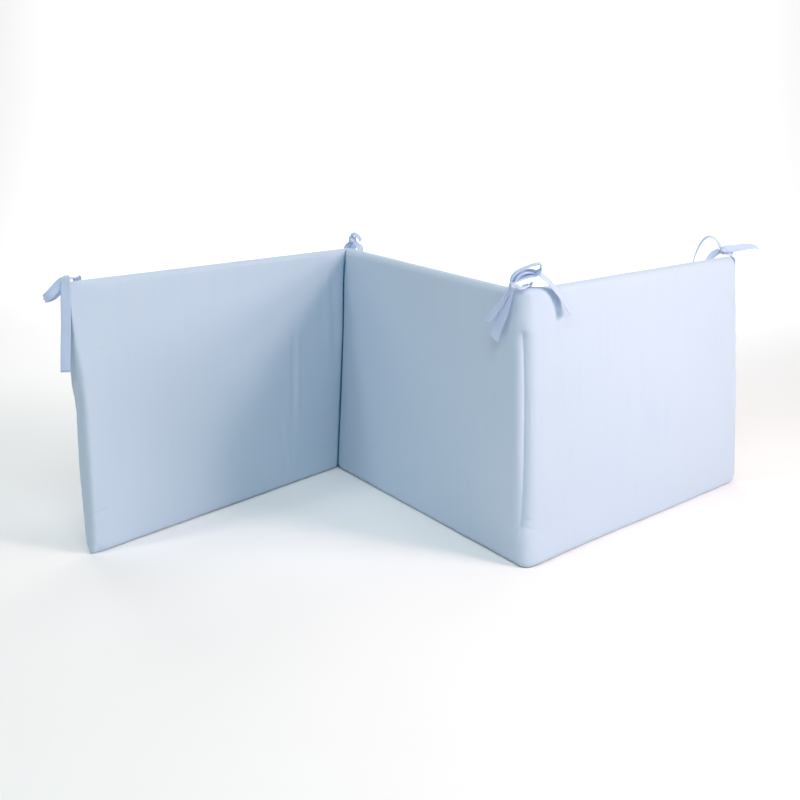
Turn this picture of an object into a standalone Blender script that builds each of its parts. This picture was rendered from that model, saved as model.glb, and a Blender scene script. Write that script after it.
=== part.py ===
"""Crib bumper: one long padded cover in three panels, sewn through between the panels and stood on
edge in a zigzag, with a knotted tape tie at the top of each of its four upright edges.

Metres, +Z up. It stands on z = 0. +X runs from the left end to the right end as seen from the
front, and +Y points to the back. The origin lies under the middle of the whole object.
"""

import math
from collections import namedtuple

import bmesh
import bpy
from mathutils import Vector

# ---- driving dimensions ---------------------------------------------------------------------

PANEL_LENGTH = 0.600
STANDING_HEIGHT = 0.400
PANELS = 3

FULL_HALF = 0.0140          # half the padding's thickness in the middle of a panel
RIM_HALF = 0.0112           # the same close to a panel's edges, where the cover holds it down
CROWN_POWER = 0.55          # 1 is a panel that swells toward its middle, less is a flatter one
END_CROWN = 0.30            # how much of its swelling an outer panel keeps at the cover's end
SEAM_HALF = 0.0010          # the seam allowance that ends the padding all round
ROUND_WIDTH = 0.0105        # how far in from a seam the padding reaches its thickness
ROUND_POWER = 2.3           # 2 is a round shoulder, more is a squarer one
END_ROUND_WIDTH = 0.0090    # the same at the cover's two ends
END_ROUND_POWER = 3.0
CORNER_RADIUS = 0.0060      # of the cover's four outer corners
SETTLE = 0.0015             # how far the lower seam is pressed flat by the weight on it

# The left end's seam bows out and is fuller in its upper half. Its upper corner is drawn flat
# at the front, where the tie is sewn on.
END_BOW = 0.0020
END_SWELL = 0.0050
END_SWELL_FROM = 0.215
END_SWELL_FADE = 0.100
CORNER_PINCH = 0.92
PINCH_FROM = 0.262
PINCH_FADE = 0.115
PINCH_REACH = 0.050

# Between the panels the cover is sewn through, apart from a stretch at the top and at the bottom.
SEWN_FROM = 0.054
SEWN_TO = 0.349
SEWN_FADE = 0.011
SEWN_HALF = 0.0015
UNSEWN_HALF = 0.0095
SEAM_DEPTH = 0.0050         # of the groove that the sewn line makes on a fold's outer side
SEAM_SPREAD_BEFORE = 0.0085
SEAM_SPREAD_AFTER = 0.0060
SEAM_ASIDE = -0.0018        # how far past the ridge its sewn line starts
SEAM_LEAN = 0.0044          # how much farther past it the line's top is
SEAM_BOW = 0.0072           # and how much farther its middle is
SEAM_BOW_POWER = 0.45
FOLD_ROUND = 0.0060         # how far from a fold its middle line starts to turn
RIDGE_REACH_BEFORE = 0.0080     # the same at the ridge, a wide soft bend above its foot
RIDGE_REACH_AFTER = 0.0420
RIDGE_ROUND_FROM = 0.004
RIDGE_ROUND_FADE = 0.040
RIDGE_SWELL = 0.0065        # how far the last panel's padding bulges beside the ridge's seam
RIDGE_SWELL_AT = 0.0060
RIDGE_SWELL_RISE = 0.0040
RIDGE_SWELL_FADE = 0.060
RIDGE_RISE = 0.0032         # how far the tie lifts the rim past the ridge
RIDGE_RISE_AT = 1.2120
RIDGE_RISE_REACH = 0.050
RIDGE_RISE_FADE = 0.045
FOOT_KICK_RIGHT = 0.0042    # how far the ridge's foot is pushed out
FOOT_KICK_BACK = -0.0084
FOOT_KICK_BEFORE = 0.032    # how far this reaches before the ridge
FOOT_KICK_HEIGHT = 0.070
CREASE_GAP = 0.0006         # between the two panels' paddings inside a closed fold
CREASE_CREEP = 0.2          # how fast the inside of a fold moves outward, per metre of cover

# The zigzag in plan: the left end's foot, each panel's heading from +X, and how far the top of
# each upright edge leans from its foot.
LEFT_END = Vector((-0.5047, -0.2203))
PANEL_HEADINGS = [math.radians(degrees) for degrees in (55.1, -61.2, 46.6)]
Lean = namedtuple("Lean", "right back")
LEANS = (
    Lean(right=-0.0115, back=0.0190),
    Lean(right=0.0185, back=0.0000),
    Lean(right=-0.0125, back=-0.0135),
    Lean(right=-0.0245, back=-0.0020),
)
EDGE_NAMES = ("left_end", "valley", "ridge", "right_end")
FRONT_VALLEY = 1            # the fold whose inner side is at the front

# Where the padding's surface has points: close together at a seam or fold, wide apart inside.
EDGE_STEPS = (0.0, 0.0020, 0.0055, 0.0100, 0.0160, 0.0250, 0.0450)
PANEL_INNER_STEPS = 5
HEIGHT_INNER_STEPS = 3

TAPE_THICKNESS = 0.0012
TAPE_STEPS = 3              # segments between two points of a tape's route
NUDGE = 0.01                # in route points, to find which way a tape runs

COVER_BLUE = (0.46, 0.60, 0.76, 1.0)
TAPE_BLUE = (0.42, 0.57, 0.75, 1.0)
CLOTH_ROUGHNESS = 0.85

# A tape's route: each point's place from its upright edge's top, which way the tape's face looks
# there, both as right, back and up, and how wide the tape lies there, gathered near a knot.
# Places and widths are in millimetres.
Way = namedtuple("Way", "right back up face_right face_back face_up width")

TAPE_ROUTES = {
    "left_end": {
        "root": (
            Way(3.0, 24.8, -24, -0.8, 0.6, 0.0, 14),
            Way(2.4, 25.4, -6, -0.8, 0.6, 0.0, 14),
            Way(1, 22, 2.5, -0.5, 0.3, 0.8, 12),
            Way(0, 12, 3.4, -0.2, -0.2, 1.0, 10),
            Way(-5.5, 2, 4.5, -0.1, -0.2, 1.0, 7),
        ),
        "tail": (
            Way(-6, -1, 4, -0.1, 0.3, 1.0, 7),
            Way(-6, -5, 8, -0.1, -0.3, 1.0, 8),
            Way(-6, -9, 6, -0.1, -0.8, 0.6, 11),
            Way(-7, -10, -4, -0.1, -1.0, 0.0, 14),
            Way(-8, -11, -30, 0.0, -1.0, 0.0, 14),
            Way(-9, -12, -60, -0.1, -1.0, 0.0, 14),
            Way(-11, -13, -95, 0.0, -1.0, 0.0, 14),
            Way(-13, -13, -129, -0.1, -1.0, 0.0, 14),
        ),
        "loop": (
            Way(-8, -3, 4, 0.0, -1.0, 0.3, 8),
            Way(-14, -6, 0, -0.1, -1.0, 0.3, 13),
            Way(-22, -8, -8, -0.2, -1.0, 0.3, 14),
            Way(-31, -9, -17, -0.3, -1.0, 0.3, 14),
            Way(-39, -6, -23, -0.9, -0.4, -0.2, 12),
            Way(-40, -1, -26, -0.5, 0.7, -0.6, 11),
            Way(-33, 4, -24, 0.2, 1.0, -0.4, 13),
            Way(-24, 3, -17, 0.2, 1.0, 0.0, 13),
            Way(-17, 1, -7, 0.0, 1.0, 0.0, 9),
            Way(-10, 0, 2, -0.2, 1.0, 0.0, 6),
        ),
    },
    "valley": {
        "left_root": (
            Way(-2, 12, -26, 0.0, 1.0, 0.0, 14),
            Way(-2, 12, -8, 0.0, 1.0, 0.0, 14),
            Way(-1, 11, 1, 0.0, 1.0, 0.1, 13),
            Way(2, 9, 6, 0.2, 0.9, 0.3, 9),
            Way(5, 7, 11, 0.3, 0.9, 0.3, 6),
        ),
        "right_root": (
            Way(24, -9, -28, 0.9, 0.5, 0.0, 14),
            Way(24, -9, -6, 0.8, -0.3, 0.3, 14),
            Way(21, -7, 2, 0.5, -0.8, 0.4, 13),
            Way(15, -1, 7, 0.4, -0.9, 0.3, 9),
            Way(10, 4, 12, 0.4, -0.8, 0.4, 6),
        ),
        "short_tail": (
            Way(8, 4, 17, -0.5, -0.8, 0.4, 7),
            Way(7, 3, 23, -0.4, -0.8, 0.6, 7),
            Way(12, 2, 24, 0.2, -0.8, 0.7, 8),
            Way(18, 3, 19, 0.5, -0.7, 0.5, 9),
            Way(22, 4, 12, 0.8, -0.5, 0.3, 8),
        ),
        "back_tail": (
            Way(7, 10, 16, 0.0, 0.3, 1.0, 7),
            Way(7, 15, 18, 0.0, 0.4, 0.9, 11),
            Way(7, 21, 11, 0.0, 0.9, 0.4, 14),
            Way(6, 23, -2, 0.0, 1.0, 0.1, 14),
            Way(5, 23, -28, 0.1, 1.0, 0.0, 14),
            Way(3, 22, -54, 0.1, 1.0, 0.0, 14),
            Way(0, 23, -76, 0.0, 1.0, 0.0, 14),
        ),
    },
    "ridge": {
        "root": (
            Way(14, 42, -24, -0.7, 0.7, 0.0, 14),
            Way(14, 41, -6, -0.7, 0.7, 0.0, 14),
            Way(13, 30, 5, -0.4, 0.3, 0.8, 13),
            Way(9, 14, 6, 0.0, 0.0, 1.0, 11),
            Way(4, 0, 5.5, -0.1, -0.2, 1.0, 9),
            Way(-2, -11, 5.5, -0.2, -0.5, 0.9, 8),
            Way(-10, -14, 9, -0.3, -0.7, 0.7, 6),
        ),
        "loop": (
            Way(-16, -13, 13, -0.7, -0.1, 0.7, 6),
            Way(-14, -13, 20, -0.8, -0.2, 0.6, 9),
            Way(-9, -12, 26, -0.6, -0.3, 0.8, 10),
            Way(-2, -11, 30, -0.4, -0.2, 0.9, 11),
            Way(7, -10, 34, -0.35, -0.15, 0.95, 12),
            Way(16, -9, 37, -0.35, -0.15, 0.95, 12),
            Way(23, -8, 38, 0.3, -0.1, 0.9, 12),
            Way(25, -7, 35, 1.0, -0.1, 0.1, 12),
            Way(24, -6, 28, 0.9, 0.2, -0.4, 12),
            Way(17, -5, 23.5, 0.1, 0.5, -0.85, 14),
            Way(8, -6, 22.5, 0.0, 0.5, -0.85, 14),
            Way(-2, -9, 19.5, 0.1, 0.6, -0.8, 11),
            Way(-10, -11, 14, 0.5, 0.3, -0.8, 7),
        ),
        "arc_tail": (
            Way(-12, -14, 13, -0.6, -0.4, 0.7, 6),
            Way(-9, -15, 19, -0.6, -0.4, 0.7, 8),
            Way(-4, -14, 24, -0.4, -0.4, 0.8, 10),
            Way(5, -9, 26.5, 0.2, -0.15, 1.0, 12),
            Way(15, -2, 26, 0.5, -0.25, 0.85, 13),
            Way(25, 6, 21, 0.7, -0.28, 0.65, 14),
            Way(38, 15, 11, 0.85, -0.3, 0.4, 14),
            Way(46, 22, 2, 0.9, -0.32, 0.3, 14),
            Way(57, 32, -11, 0.9, -0.32, 0.3, 14),
            Way(66, 37, -25, 0.92, -0.30, 0.25, 14),
            Way(74, 39, -38, 0.95, -0.25, 0.2, 14),
        ),
        "narrow_tail": (
            Way(-17, -15, 7, -0.6, -0.6, 0.5, 6),
            Way(-23, -10, -2, -0.6, -0.6, 0.5, 9),
            Way(-30, -3, -15, -0.6, -0.6, 0.5, 11),
            Way(-39, 5, -30, -0.6, -0.6, 0.4, 11),
            Way(-49, 14, -46, -0.7, -0.5, 0.5, 9),
        ),
        "wide_tail": (
            Way(-15, -15, 6, -0.4, -0.9, 0.2, 6),
            Way(-17, -12, -2, -0.4, -0.9, 0.2, 9),
            Way(-20, -4, -17, -0.4, -0.9, 0.2, 12),
            Way(-25, 6, -36, -0.3, -0.9, 0.2, 14),
            Way(-31, 15, -55, -0.3, -0.9, 0.2, 14),
            Way(-35, 21, -71, -0.2, -1.0, 0.2, 14),
        ),
    },
    "right_end": {
        "root": (
            Way(3, 3, -24, 0.7, 0.7, 0.0, 14),
            Way(3.5, 3.5, -7, 0.7, 0.6, 0.1, 14),
            Way(2, 2.5, 4, 0.3, -0.6, 0.6, 12),
            Way(-5, 1, 8.5, 0.0, -1.0, 0.2, 13),
            Way(-13, 1, 12, -0.1, -1.0, 0.1, 9),
        ),
        "loop": (
            Way(-17, 3, 14, 0.7, -0.5, 0.4, 8),
            Way(-20, 3, 20, 0.8, -0.4, 0.4, 11),
            Way(-26, 4, 28, 0.7, -0.3, 0.6, 12),
            Way(-36, 5, 33, 0.0, -0.1, 1.0, 12),
            Way(-47, 6, 27, -0.7, 0.0, 0.7, 13),
            Way(-56, 7, 10, -0.9, 0.1, 0.4, 14),
            Way(-62, 8, -12, -1.0, 0.2, 0.0, 14),
            Way(-61, 10, -30, -0.8, 0.0, -0.6, 14),
            Way(-52, 11, -35, 0.4, -0.1, -0.9, 14),
            Way(-43, 10, -21, 0.7, -0.4, -0.6, 14),
            Way(-35, 8, -7, 0.5, -0.8, -0.4, 14),
            Way(-27, 6, 3, 0.3, -1.0, -0.2, 13),
            Way(-18, 4, 9, 0.2, -1.0, -0.2, 9),
        ),
        "tail": (
            Way(-10, 0, 13, 0.0, -0.9, 0.4, 12),
            Way(-2, -1, 13, 0.0, -0.8, 0.5, 14),
            Way(10, -2, 14.5, 0.0, -0.7, 0.7, 14),
            Way(22, -3, 16.5, 0.0, -0.6, 0.8, 14),
            Way(33, -3, 17.5, 0.0, -0.5, 0.85, 14),
            Way(39, -3, 17, 0.2, -0.4, 0.9, 13),
            Way(45, -3, 15.5, 0.3, -0.4, 0.85, 11),
        ),
    },
}

# The knots: each one's middle from its upright edge's top, and half its sizes, in millimetres.
Knot = namedtuple("Knot", "right back up half_right half_back half_up turn")
KNOTS = {
    "left_end": Knot(-7, -1, 4, 5.5, 5.5, 4.5, 30),
    "valley": Knot(7, 6, 13, 5.5, 5.0, 5.5, -20),
    "ridge": Knot(-14, -13, 10, 4.5, 5.0, 6.0, 35),
    "right_end": Knot(-10, 3, 9.5, 8.5, 4.5, 7.0, -15),
}
KNOT_RIDGES = 3
KNOT_RIDGE_DEPTH = 0.14     # of the knot's radius

KNOT_RIDGE_SLANT = 4.0      # how far the ridges turn round the knot from its middle to its end
KNOT_SEGMENTS = 14
KNOT_RINGS = 9

MM = 0.001
ROUNDING = 1e-6             # keeps a place that is exactly on a fold with the panel it starts


# ---- small helpers --------------------------------------------------------------------------

def clear_scene():
    for obj in list(bpy.data.objects):
        bpy.data.objects.remove(obj, do_unlink=True)


def cloth(name, colour):
    material = bpy.data.materials.new(name)
    material.use_nodes = True
    shader = material.node_tree.nodes["Principled BSDF"]
    shader.inputs["Base Color"].default_value = colour
    shader.inputs["Roughness"].default_value = CLOTH_ROUGHNESS
    shader.inputs["Metallic"].default_value = 0.0
    return material


def add_object(name, mesh_builder, collection, material):
    mesh = bpy.data.meshes.new(name)
    mesh_builder.normal_update()
    mesh_builder.to_mesh(mesh)
    mesh_builder.free()
    obj = bpy.data.objects.new(name, mesh)
    mesh.materials.append(material)
    collection.objects.link(obj)
    return obj


def new_collection(name):
    collection = bpy.data.collections.new(name)
    bpy.context.scene.collection.children.link(collection)
    return collection


def limit(value, low, high):
    return max(low, min(high, value))


def ease(value):
    """0 up to 0, 1 from 1 on, and a smooth step between."""
    value = limit(value, 0.0, 1.0)
    return value * value * (3 - 2 * value)


def shoulder(distance, width=ROUND_WIDTH, power=ROUND_POWER):
    """How full the padding is at this distance from a seam, from 0 to 1."""
    inward = limit(distance / width, 0.0, 1.0)
    return (1 - (1 - inward) ** power) ** (1 / power)


# ---- the flat cover -------------------------------------------------------------------------

COVER_LENGTH = PANELS * PANEL_LENGTH
COVER_HEIGHT = STANDING_HEIGHT + SETTLE


def inner_steps(start, end, count):
    return [start + (end - start) * step / count for step in range(1, count)]


def stations_along():
    """Every place along the cover where its surface has a row of points."""
    places = []
    for panel in range(PANELS):
        start = panel * PANEL_LENGTH
        end = start + PANEL_LENGTH
        places += [start + step for step in EDGE_STEPS]
        places += inner_steps(start + EDGE_STEPS[-1], end - EDGE_STEPS[-1], PANEL_INNER_STEPS)
        places += [end - step for step in reversed(EDGE_STEPS[1:])]
    return places + [COVER_LENGTH]


def stations_up():
    """Every height on the cover where its surface has a row of points."""
    low_sewn = (SEWN_FROM, SEWN_FROM + SEWN_FADE)
    high_sewn = (SEWN_TO - SEWN_FADE, SEWN_TO)
    places = [SETTLE if step == EDGE_STEPS[1] else step for step in EDGE_STEPS]
    places += low_sewn
    places += inner_steps(low_sewn[-1], high_sewn[0], HEIGHT_INNER_STEPS)
    places += high_sewn
    places += [COVER_HEIGHT - step for step in reversed(EDGE_STEPS)]
    return places


def sewn_share(height):
    """1 where the fold is sewn through, 0 above and below."""
    return ease((height - SEWN_FROM) / SEWN_FADE) * ease((SEWN_TO - height) / SEWN_FADE)


def is_outer_side(edge, side):
    """Whether this side, 1 for the front, is on the outer side of a fold."""
    return side == (-1 if edge == FRONT_VALLEY else 1)


def seam_place(edge, height):
    """How far past a fold the sewn line is that gathers the padding there."""
    if edge == FRONT_VALLEY:
        return 0.0
    share = limit((height - SEWN_FROM) / (SEWN_TO - SEWN_FROM), 0.0, 1.0)
    bow = max(0.0, math.sin(math.pi * share)) ** SEAM_BOW_POWER
    return SEAM_ASIDE + SEAM_LEAN * share + SEAM_BOW * bow


def ridge_swell(past_seam):
    rise = 1 / (1 + math.exp((RIDGE_SWELL_AT - past_seam) / RIDGE_SWELL_RISE))
    return RIDGE_SWELL * rise * math.exp(-max(past_seam, 0.0) / RIDGE_SWELL_FADE)


def groove(edge, past, height):
    """How far the sewn line draws in a fold's outer side, at a place past the fold."""
    past_seam = past - seam_place(edge, height)
    spread = SEAM_SPREAD_BEFORE if past_seam < 0 else SEAM_SPREAD_AFTER
    depth = SEAM_DEPTH * sewn_share(height) * math.exp(-abs(past_seam) / spread)
    return depth if edge == FRONT_VALLEY else depth - ridge_swell(past_seam)


def waist(distance, height):
    """How full the padding is beside a fold on its inner side, from 0 to 1."""
    sewn = sewn_share(height)
    least = (SEWN_HALF * sewn + UNSEWN_HALF * (1 - sewn)) / RIM_HALF
    return least + (1 - least) * shoulder(distance)


def half_thickness(side, panel, local, height):
    """Half the padding's thickness at a place on a panel, on one of its two sides."""
    along = panel * PANEL_LENGTH + local
    reach = 0.0 if panel == 1 else END_CROWN * PANEL_LENGTH
    from_inner = PANEL_LENGTH - local if panel == 0 else local
    crown = math.sin(math.pi * from_inner / (PANEL_LENGTH + reach))
    crown *= math.sin(math.pi * height / COVER_HEIGHT)
    half = RIM_HALF + (FULL_HALF - RIM_HALF) * limit(crown, 0.0, 1.0) ** CROWN_POWER
    for edge in range(1, PANELS):
        past = along - edge * PANEL_LENGTH
        if not is_outer_side(edge, side):
            half *= waist(abs(past), height)
        elif abs(past) < PANEL_LENGTH / 2:
            half -= groove(edge, past, height)
    if side > 0:
        drawn = ease((height - PINCH_FROM) / PINCH_FADE) * (1 - ease(along / PINCH_REACH))
        half *= 1 - CORNER_PINCH * drawn
    for distance in (along, COVER_LENGTH - along):
        half *= shoulder(distance, END_ROUND_WIDTH, END_ROUND_POWER)
    half *= shoulder(height) * shoulder(COVER_HEIGHT - height)
    return max(half, SEAM_HALF)


def rounded_corner(along, height):
    """Moves a place that lies in an outer corner of the cover onto the corner's round outline."""
    out_along = 1 - min(along, COVER_LENGTH - along) / CORNER_RADIUS
    out_height = 1 - min(height, COVER_HEIGHT - height) / CORNER_RADIUS
    if out_along <= 0 or out_height <= 0:
        return along, height
    shrink = max(out_along, out_height) / math.hypot(out_along, out_height)
    from_end = (1 - out_along * shrink) * CORNER_RADIUS
    from_rim = (1 - out_height * shrink) * CORNER_RADIUS
    return (
        from_end if along < COVER_LENGTH / 2 else COVER_LENGTH - from_end,
        from_rim if height < COVER_HEIGHT / 2 else COVER_HEIGHT - from_rim,
    )


# ---- the fold -------------------------------------------------------------------------------

def edge_feet():
    feet = [LEFT_END.copy()]
    for heading in PANEL_HEADINGS:
        feet.append(feet[-1] + PANEL_LENGTH * Vector((math.cos(heading), math.sin(heading))))
    return feet


def edge_points(height):
    """Where the middle of each upright edge is in plan, at this height."""
    share = height / STANDING_HEIGHT
    return [foot + share * Vector(lean) for foot, lean in zip(edge_feet(), LEANS)]


def front_of(direction):
    return Vector((direction.y, -direction.x))


def fold_axes(points, edge):
    """At a fold in plan: the way into its inner side, and across it toward the next panel."""
    to_previous = (points[edge - 1] - points[edge]).normalized()
    to_next = (points[edge + 1] - points[edge]).normalized()
    inward = (to_previous + to_next).normalized()
    across = (to_next - inward * to_next.dot(inward)).normalized()
    return inward, across


def bend_reach(edge, height):
    """How far before and after a fold its panels bend into each other."""
    if edge == FRONT_VALLEY:
        return FOLD_ROUND, FOLD_ROUND
    share = ease((height - RIDGE_ROUND_FROM) / RIDGE_ROUND_FADE)
    return (
        FOLD_ROUND + (RIDGE_REACH_BEFORE - FOLD_ROUND) * share,
        FOLD_ROUND + (RIDGE_REACH_AFTER - FOLD_ROUND) * share,
    )


def middle_line(points, panel, local, height):
    """The place of the padding's middle in plan, and the way to its front, with rounded folds."""
    start, end = points[panel], points[panel + 1]
    direction = (end - start).normalized()
    place = start + (end - start) * (local / PANEL_LENGTH)
    for edge, past in ((panel, local), (panel + 1, local - PANEL_LENGTH)):
        if edge in (0, PANELS):
            continue
        reach_before, reach_after = bend_reach(edge, height)
        if not -reach_before < past < reach_after:
            continue
        before = reach_before * (points[edge] - points[edge - 1]).normalized()
        after = reach_after * (points[edge + 1] - points[edge]).normalized()
        share = (past + reach_before) / (reach_before + reach_after)
        place = points[edge] - before * (1 - share) ** 2 + after * share ** 2
        direction = (before * (1 - share) + after * share).normalized()
    return place, front_of(direction)


def inside_fold(place, points, edge, distance, is_next, half, height):
    """Keeps a point on the inner side of a fold on its own panel's side of the crease."""
    inward, across = fold_axes(points, edge)
    offset = place - points[edge]
    sideways = offset.dot(across) * (1 if is_next else -1)
    gap = CREASE_GAP / 2 * min(1.0, distance / EDGE_STEPS[1])
    if sideways >= gap:
        return place
    to_previous = (points[edge - 1] - points[edge]).normalized()
    reach = sum(bend_reach(edge, height)) / 2
    crease_foot = reach / 2 * inward.dot(to_previous) + half
    depth = max(offset.dot(inward), crease_foot + CREASE_CREEP * distance)
    return points[edge] + inward * depth + across * gap * (1 if is_next else -1)


def foot_kick(along, height):
    """How far a place is pushed out with the ridge's foot, past it evenly less to the right end."""
    past = along - (FRONT_VALLEY + 1) * PANEL_LENGTH
    if past < 0:
        share = math.exp(-(past / FOOT_KICK_BEFORE) ** 2)
    else:
        share = 1 - past / PANEL_LENGTH
    return share * (1 - ease(height / FOOT_KICK_HEIGHT)) * Vector((FOOT_KICK_RIGHT, FOOT_KICK_BACK))


def stand(along, side, height):
    """Where a point of the flat cover is on the standing, folded bumper. side is 1 at the front."""
    panel = min(int(along / PANEL_LENGTH + ROUNDING), PANELS - 1)
    local = along - panel * PANEL_LENGTH
    half = half_thickness(side, panel, local, height)
    round_along, round_height = rounded_corner(along, height)
    local += round_along - along
    if panel == 0:
        bow = END_BOW * math.sin(math.pi * height / COVER_HEIGHT)
        bow += END_SWELL * ease((height - END_SWELL_FROM) / END_SWELL_FADE)
        local -= bow * (1 - ease(local / EDGE_STEPS[-1]))
    up = max(0.0, round_height - SETTLE)
    rise = 1 - ((along - RIDGE_RISE_AT) / RIDGE_RISE_REACH) ** 2
    up += RIDGE_RISE * max(0.0, rise) ** 2 * ease((height - SEWN_TO) / RIDGE_RISE_FADE)
    points = edge_points(up)
    place, front = middle_line(points, panel, local, height)
    place += front * side * half
    for edge, distance, is_next in ((panel, local, True), (panel + 1, PANEL_LENGTH - local, False)):
        if edge in (0, PANELS) or distance > EDGE_STEPS[-1] or is_outer_side(edge, side):
            continue
        foot_half = half_thickness(side, edge - 1, PANEL_LENGTH, height)
        place = inside_fold(place, points, edge, distance, is_next, foot_half, height)
    place += foot_kick(along, height)
    return Vector((place.x, place.y, up))


def padding(collection, material):
    """The filled cover: a flat block cut at its stations, then each point put where it stands."""
    builder = bmesh.new()
    bmesh.ops.create_cube(builder, size=1.0)
    bmesh.ops.translate(builder, verts=builder.verts, vec=(0.5, 0.0, 0.5))
    bmesh.ops.scale(builder, verts=builder.verts, vec=(COVER_LENGTH, 2.0, COVER_HEIGHT))
    cuts = [(Vector((place, 0, 0)), Vector((1, 0, 0))) for place in stations_along()[1:-1]]
    cuts += [(Vector((0, 0, place)), Vector((0, 0, 1))) for place in stations_up()[1:-1]]
    for point, normal in cuts:
        every = builder.verts[:] + builder.edges[:] + builder.faces[:]
        bmesh.ops.bisect_plane(builder, geom=every, plane_co=point, plane_no=normal)
    for vertex in builder.verts:
        flat = vertex.co
        vertex.co = stand(flat.x, -1 if flat.y > 0 else 1, flat.z)
    bmesh.ops.triangulate(builder, faces=builder.faces[:])
    bmesh.ops.recalc_face_normals(builder, faces=builder.faces[:])
    pad = add_object("bumper_pad", builder, collection, material)
    pad.data.shade_smooth()
    return pad


# ---- the ties -------------------------------------------------------------------------------

def on_curve(values, position):
    """A smooth curve through a list of vectors, at a position counted in list steps."""
    index = min(int(position), len(values) - 2)
    share = position - index
    before = values[index - 1] if index else 2 * values[0] - values[1]
    start, end = values[index], values[index + 1]
    after = values[index + 2] if index + 2 < len(values) else 2 * end - start
    return 0.5 * (
        2 * start
        + (end - before) * share
        + (2 * before - 5 * start + 4 * end - after) * share ** 2
        + (3 * start - before - 3 * end + after) * share ** 3
    )


def tape(name, route, origin, collection, material):
    """A strip of tape laid along its route, TAPE_THICKNESS thick."""
    places = [origin + MM * Vector(way[:3]) for way in route]
    faces = [Vector(way[3:6]).normalized() for way in route]
    widths = [MM * way.width for way in route]
    spans = len(route) - 1
    builder = bmesh.new()
    bmesh.ops.create_grid(builder, x_segments=spans * TAPE_STEPS, y_segments=1, size=1.0)
    for vertex in builder.verts:
        position = (vertex.co.x + 1) / 2 * spans
        edge_side = 1 if vertex.co.y > 0 else -1
        ahead = on_curve(places, min(position + NUDGE, spans))
        behind = on_curve(places, max(position - NUDGE, 0.0))
        across = (ahead - behind).cross(on_curve(faces, position)).normalized()
        vertex.co = on_curve(places, position) + across * edge_side * on_curve(widths, position) / 2
    strip = add_object(name, builder, collection, material)
    thicken = strip.modifiers.new("thickness", "SOLIDIFY")
    thicken.thickness = TAPE_THICKNESS
    thicken.offset = 0.0
    return strip


def knot(name, size, origin, collection, material):
    """A tight lump of wound tape, ridged where its turns lie beside each other."""
    builder = bmesh.new()
    bmesh.ops.create_uvsphere(builder, u_segments=KNOT_SEGMENTS, v_segments=KNOT_RINGS, radius=1.0)
    for vertex in builder.verts:
        turn = math.atan2(vertex.co.y, vertex.co.z)
        ridge = math.cos(KNOT_RIDGES * turn + KNOT_RIDGE_SLANT * vertex.co.x)
        vertex.co *= 1 + KNOT_RIDGE_DEPTH * ridge
    bmesh.ops.scale(
        builder, verts=builder.verts, vec=MM * Vector((size.half_right, size.half_back, size.half_up))
    )
    lump = add_object(name, builder, collection, material)
    lump.location = origin + MM * Vector((size.right, size.back, size.up))
    lump.rotation_euler = (0.0, math.radians(size.turn), 0.0)
    return lump


def tie(edge, collection, joined, material):
    """One knotted tie: its lengths of tape and its knot as a single solid."""
    edge_name = EDGE_NAMES[edge]
    top = edge_points(STANDING_HEIGHT)[edge]
    origin = Vector((top.x, top.y, STANDING_HEIGHT))
    body = knot(f"tie_{edge_name}", KNOTS[edge_name], origin, collection, material)
    for length_name, route in TAPE_ROUTES[edge_name].items():
        strip = tape(f"tape_{edge_name}_{length_name}", route, origin, joined, material)
        strip.hide_render = True
        strip.display_type = "WIRE"
        union = body.modifiers.new(length_name, "BOOLEAN")
        union.operation = "UNION"
        union.solver = "EXACT"
        union.object = strip
    return body


def main():
    clear_scene()
    parts = new_collection("crib_bumper")
    joined = new_collection("joined_tapes")
    padding(parts, cloth("cover_cloth", COVER_BLUE))
    tape_cloth = cloth("tape_cloth", TAPE_BLUE)
    for edge in range(len(EDGE_NAMES)):
        tie(edge, parts, joined, tape_cloth)


main()
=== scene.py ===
"""The crib bumper's looks: its padded cover with seams, puckers and creases, its knotted tape ties,
woven cotton, a pale floor, soft studio light and a camera.

Metres, +Z up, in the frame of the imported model. The cover and the ties repeat the sizes and routes
of the model's own source, and add what shows from close by.
"""

import math
from collections import namedtuple

import bpy
import numpy as np
from mathutils import Matrix, Vector


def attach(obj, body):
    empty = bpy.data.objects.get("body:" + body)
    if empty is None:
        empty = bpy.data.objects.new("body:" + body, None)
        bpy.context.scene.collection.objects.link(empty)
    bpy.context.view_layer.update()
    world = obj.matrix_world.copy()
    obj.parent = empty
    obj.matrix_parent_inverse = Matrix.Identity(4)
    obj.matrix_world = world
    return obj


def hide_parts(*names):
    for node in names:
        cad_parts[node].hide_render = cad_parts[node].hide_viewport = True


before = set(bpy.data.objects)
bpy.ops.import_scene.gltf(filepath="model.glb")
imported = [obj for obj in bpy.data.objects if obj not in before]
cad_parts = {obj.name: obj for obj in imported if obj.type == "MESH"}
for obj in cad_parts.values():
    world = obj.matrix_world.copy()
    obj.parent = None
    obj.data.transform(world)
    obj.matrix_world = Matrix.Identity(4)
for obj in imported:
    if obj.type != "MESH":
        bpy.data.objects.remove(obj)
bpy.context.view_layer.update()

# ---- sizes shared with the model's source ----

PANEL_LENGTH = 0.600
STANDING_HEIGHT = 0.400
PANELS = 3
SETTLE = 0.0015  # how far the lower seam is pressed flat
COVER_LENGTH = PANELS * PANEL_LENGTH
COVER_HEIGHT = STANDING_HEIGHT + SETTLE

FULL_HALF = 0.0140  # half the padding's thickness in the middle of a panel
RIM_HALF = 0.0112  # the same close to a panel's edges
CROWN_POWER = 0.55
END_CROWN = 0.30  # how much of its swelling an outer panel keeps at its end
ROUND_WIDTH = 0.0105  # how far in from a seam the padding reaches its thickness
ROUND_POWER = 2.3  # 2 is a round shoulder, more is a squarer one
END_ROUND_WIDTH = 0.0090  # the same at the cover's two ends
END_ROUND_POWER = 3.0

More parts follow.
